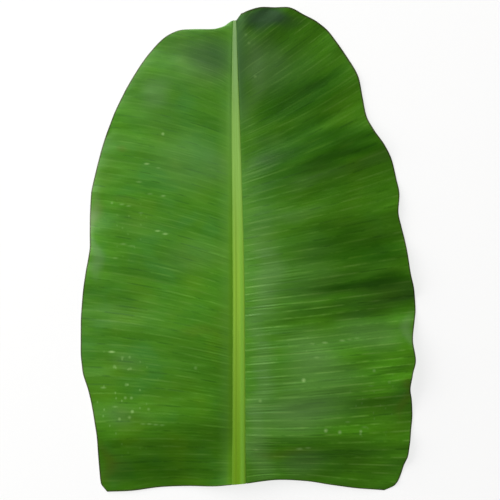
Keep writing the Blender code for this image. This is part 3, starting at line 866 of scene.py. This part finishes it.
def section_outline(turn):
    """Once round the section: how far across it and how high, as shares of its half and depth."""
    over = turn < 0.5
    across = np.where(over, np.sin(np.pi * (turn * 2 - 0.5)), np.cos(np.pi * (turn * 2 - 1)))
    across = np.clip(across, -1, 1)
    section = np.array(UPPER_SECTION)
    height = np.where(over, np.interp(across, section[:, 0], section[:, 1]), under_height(across))
    return across, height


def midrib_stretch(name, start, end, rings):
    """A closed stretch of the midrib between two distances from the cut."""
    bpy.ops.object.select_all(action="DESELECT")
    bpy.ops.mesh.primitive_grid_add(x_subdivisions=AROUND, y_subdivisions=rings, size=2)
    rib = bpy.context.active_object
    rib.name = name
    flat = vertex_places(rib)
    across, height = section_outline((flat[:, 0] + 1) / 2)
    distance = start + (flat[:, 1] + 1) / 2 * (end - start)
    x = midrib_x(distance) + across * midrib_width(distance) / 2
    slant = (CUT_BACK - CUT_SLANT * across) * MM
    y = CUT_Y + distance - slant * np.exp(-(distance / CUT_EVENS_OUT) ** 2)
    z = keel_height(distance) + height * midrib_depth(distance)
    write_places(rib, np.stack([x, y, z], 1))
    write_uv(rib, "fibres", distance, across)
    write_attribute(rib, "height", height)

    bpy.ops.object.mode_set(mode="EDIT")
    bpy.ops.mesh.select_all(action="SELECT")
    bpy.ops.mesh.remove_doubles(threshold=SAME_POINT)
    bpy.ops.mesh.select_all(action="DESELECT")
    bpy.ops.mesh.select_mode(type="EDGE")
    bpy.ops.mesh.select_non_manifold()
    bpy.ops.mesh.edge_face_add()
    bpy.ops.mesh.select_mode(type="VERT")
    bpy.ops.object.mode_set(mode="OBJECT")
    outward_faces(rib)
    return rib


SKIN_AT_CUT = (0.172, 0.372, 0.007, 1)
SKIN_MIDWAY = (0.290, 0.535, 0.042, 1)
SKIN_NEAR_TIP = (0.275, 0.525, 0.105, 1)
SKIN_AT_TIP = (0.250, 0.440, 0.170, 1)
FIBRE = (0.165, 0.320, 0.006, 1)
OLIVE_AND_SHADE = (0.150, 0.285, 0.003, 1)
GREEN_STRIPE_AND_LIGHT = (0.195, 0.470, 0.042, 1)
FLANK_AND_SHADE = (0.125, 0.290, 0.014, 1)
KEEL = (0.290, 0.430, 0.085, 1)


def midrib_material():
    """Along is in metres from the cut, and across runs from -1 on the left to 1 on the right."""
    material, tree, shader = new_material("midrib_skin")
    along, across = uv_values(tree, "fibres")
    colour = blend(tree, ramp(tree, along, 0.0, 0.22), SKIN_AT_CUT, SKIN_MIDWAY)
    colour = blend(tree, ramp(tree, along, 0.20, 0.40), colour, SKIN_NEAR_TIP)
    colour = blend(tree, ramp(tree, along, 0.38, 0.50), colour, SKIN_AT_TIP)
    stripe = streaks(tree, along, across, 6.0, 3.0, 1.0)
    colour = blend(tree, ramp(tree, stripe, 0.4, 0.7, 0.0, 0.35), colour, FIBRE)
    # An olive stripe left of the middle, partly painted shade on the channel's left wall
    off_olive = maths(tree, "ABSOLUTE", maths(tree, "ADD", across, 0.44))
    olive = times(tree, ramp(tree, off_olive, 0.02, 0.26, 0.45, 0.0),
                  ramp(tree, along, 0.20, 0.40, 1.0, 0.3))
    colour = blend(tree, olive, colour, OLIVE_AND_SHADE)
    # A bright green stripe right of the middle, partly painted light on its right wall
    off_green = maths(tree, "ABSOLUTE", maths(tree, "SUBTRACT", across, 0.5))
    green = times(tree, ramp(tree, off_green, 0.08, 0.45, 0.7, 0.0),
                  ramp(tree, along, 0.22, 0.34, 1.0, 0.0))
    colour = blend(tree, green, colour, GREEN_STRIPE_AND_LIGHT)
    # Darker flanks: partly the midrib's own greener sides, partly painted shade on its edges
    flank_and_shade = maths(tree, "MAXIMUM", ramp(tree, across, -0.6, -1.0, 0.0, 0.6),
                  ramp(tree, across, 0.74, 0.97, 0.0, 0.9))
    colour = blend(tree, flank_and_shade, colour, FLANK_AND_SHADE)
    keel = ramp(tree, attribute(tree, "height"), 0.93, 0.7, 0.0, 0.75)
    colour = blend(tree, keel, colour, KEEL)
    feed(tree, shader, {
        "Base Color": colour, "Roughness": ramp(tree, stripe, 0.3, 0.7, 0.38, 0.5),
        "Normal": grain(tree, streaks(tree, along, across, 40.0, 14.0, 2.0), 0.3, 0.15 * MM),
    })
    return material


midrib_skin = midrib_material()
midrib = midrib_stretch("midrib", CUT_SLICE, MIDRIB_LENGTH, RINGS)
midrib.data.materials.append(midrib_skin)
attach(midrib, "root")
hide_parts("banana_leaf")

# The cut end of the midrib: pale wet pith with air canals in staggered rows, inside a thin green
# rind, sliced through by the knife. It is the first stretch of the same rod.
RIND = 0.4 * MM
CANAL_RADIUS = 0.5 * MM
CANAL_SIZES = (0.78, 1.08)
CANAL_SEED = 13
CANAL_GAP = 1.32 * MM
CANAL_ROW_GAP = 1.14 * MM
CANAL_STRAY = 0.09 * MM
FIRST_ROW = 1.1 * MM
CANAL_ROWS = 9
CANALS_EACH_SIDE = 6
CANAL_DEPTH = 2 * MM
CANAL_SIDES = 12
OUTLINE_POINTS = 240
CUT_RINGS = 3
AREA_PULL = 1e3
CANAL_SMOOTH_UNDER = math.radians(40)
PITH_SLOT, SKIN_SLOT = 0, 1


def canal_cutter(x, z, radius):
    bpy.ops.mesh.primitive_cylinder_add(vertices=CANAL_SIDES, radius=radius, depth=2 * CANAL_DEPTH,
                                        location=(x, CUT_Y, z), rotation=(math.pi / 2, 0, 0))
    return bpy.context.active_object


def canal_cutters():
    """One object of all the canals that keep clear of the rind."""
    across, height = section_outline(np.linspace(0, 1, OUTLINE_POINTS))
    half = midrib_width(0) / 2
    depth = midrib_depth(0)
    rng = np.random.default_rng(CANAL_SEED)
    cutters = []
    for row in range(CANAL_ROWS):
        for column in range(-CANALS_EACH_SIDE, CANALS_EACH_SIDE + 1):
            out = (column + row % 2 / 2) * CANAL_GAP + rng.uniform(-1, 1) * CANAL_STRAY
            z = FIRST_ROW + row * CANAL_ROW_GAP + rng.uniform(-1, 1) * CANAL_STRAY
            radius = CANAL_RADIUS * rng.uniform(*CANAL_SIZES)
            wall = np.hypot(across * half - out, height * depth - z).min() - radius
            if abs(out) < half and z > under_height(out / half) * depth and wall > RIND:
                cutters.append(canal_cutter(midrib_x(0) + out, z, radius))
    bpy.ops.object.select_all(action="DESELECT")
    for cutter in cutters:
        cutter.select_set(True)
    bpy.ops.object.join()
    return bpy.context.active_object


def cut_end(pith):
    """The first stretch of the rod, its end face inset by the rind and pierced by the canals."""
    end = midrib_stretch("midrib_cut", 0.0, CUT_SLICE, CUT_RINGS)
    end.data.materials.append(pith)
    end.data.materials.append(midrib_skin)
    bpy.ops.object.mode_set(mode="EDIT")
    bpy.ops.mesh.select_mode(type="FACE")
    bpy.ops.mesh.select_all(action="DESELECT")
    bpy.ops.object.mode_set(mode="OBJECT")
    faces = end.data.polygons
    # The front is the large face that lies nearest to the cut
    front = min(faces, key=lambda face: face.center.y - face.area * AREA_PULL)
    front.select = True
    for face in faces:
        face.material_index = SKIN_SLOT
    bpy.ops.object.mode_set(mode="EDIT")
    bpy.ops.mesh.inset(thickness=RIND)
    bpy.ops.object.mode_set(mode="OBJECT")
    for face in end.data.polygons:
        if face.select:
            face.material_index = PITH_SLOT
    cutters = canal_cutters()
    end.modifiers.new("canals", "BOOLEAN").object = cutters
    bpy.ops.object.select_all(action="DESELECT")
    bpy.context.view_layer.objects.active = end
    end.select_set(True)
    bpy.ops.object.modifier_apply(modifier="canals")
    bpy.data.objects.remove(cutters)
    bpy.ops.object.shade_smooth_by_angle(angle=CANAL_SMOOTH_UNDER)
    return end


PITH_WALL = (0.380, 0.500, 0.150, 1)
PITH = (0.650, 0.730, 0.370, 1)
PITH_STAIN = (0.380, 0.340, 0.110, 1)
CANAL_SHADE = (0.110, 0.150, 0.045, 1)


def pith_material():
    material, tree, shader = new_material("midrib_pith")
    place = point_place(tree)
    split = add_node(tree, "SeparateXYZ", {0: place})
    cells = add_node(tree, "TexVoronoi", {"Vector": place, "Scale": 3200.0},
                     feature="DISTANCE_TO_EDGE").outputs["Distance"]
    colour = blend(tree, ramp(tree, cells, 0.0, 0.12), PITH_WALL, PITH)
    stain = noise(tree, place, 420.0, 4.0)
    colour = blend(tree, ramp(tree, stain, 0.5, 0.7, 0.0, 0.4), colour, PITH_STAIN)
    deep_in = maths(tree, "SUBTRACT", split.outputs[1], CUT_Y)
    colour = blend(tree, ramp(tree, deep_in, 0.1 * MM, 1.6 * MM), colour, CANAL_SHADE)
    feed(tree, shader, {
        "Base Color": colour, "Roughness": ramp(tree, stain, 0.3, 0.7, 0.3, 0.5),
        "Normal": grain(tree, cells, 0.5, 0.1 * MM),
    })
    return material


midrib_cut = cut_end(pith_material())
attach(midrib_cut, "root")
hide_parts("banana_leaf")

# The table, the lights and the camera: a pale table, a large soft light low on the left, a soft
# light overhead, and a long lens straight above the leaf.
TABLE_SIZE = 12
TABLE_GREY = (0.20, 0.20, 0.20, 1)
TABLE_GLOW = 0.80
TABLE_ROUGHNESS = 0.9
WHITE = (1.0, 1.0, 1.0, 1)
bpy.ops.mesh.primitive_plane_add(size=TABLE_SIZE, location=(0, 0, -CLEARANCE))
table = bpy.context.active_object
table.name = "table"
table_material, table_tree, table_shader = new_material("pale_table")
feed(table_tree, table_shader, {
    "Base Color": TABLE_GREY, "Emission Color": WHITE, "Emission Strength": TABLE_GLOW,
    "Roughness": TABLE_ROUGHNESS,
})
table.data.materials.append(table_material)


def soft_light(name, place, size, power, colour):
    """A soft rectangle of light that faces the leaf."""
    bpy.ops.object.light_add(type="AREA", location=place)
    lamp = bpy.context.active_object
    lamp.name = name
    lamp.data.shape = "RECTANGLE"
    lamp.data.size, lamp.data.size_y = size
    lamp.data.energy = power
    lamp.data.color = colour
    lamp.rotation_euler = (-lamp.location).to_track_quat("-Z", "Y").to_euler()


soft_light("window", (-2.4, 1.7, 1.15), (5.5, 2.3), 269, (1.0, 0.99, 0.95))
soft_light("overhead", (-1.3, 1.1, 2.0), (1.0, 1.0), 14, (0.95, 0.98, 1.0))
soft_light("room", (1.8, -1.0, 1.5), (1.5, 1.5), 3, (1.0, 1.0, 1.0))

# The room looks white to the camera and lights the leaf only a little
ROOM_LIGHT = 0.04
ROOM_SEEN = 0.86
world = bpy.data.worlds.new("pale_room")
world.use_nodes = True
room = world.node_tree.nodes["Background"].inputs
room["Color"].default_value = WHITE
seen = add_node(world.node_tree, "LightPath", {}).outputs["Is Camera Ray"]
brightness = maths(world.node_tree, "MULTIPLY_ADD", seen, ROOM_SEEN, ROOM_LIGHT)
world.node_tree.links.new(brightness, room["Strength"])
bpy.context.scene.world = world
bpy.context.scene.view_settings.view_transform = "Standard"

CAMERA_HEIGHT = 1.53
CAMERA_X = 2.7 * MM
CAMERA_Y = -2.2 * MM
LENS = 100
FILM = 36
bpy.ops.object.camera_add(location=(CAMERA_X, CAMERA_Y, CAMERA_HEIGHT), rotation=(0, 0, 0))
camera = bpy.context.active_object
camera.data.lens = LENS
camera.data.sensor_width = FILM
bpy.context.scene.camera = camera
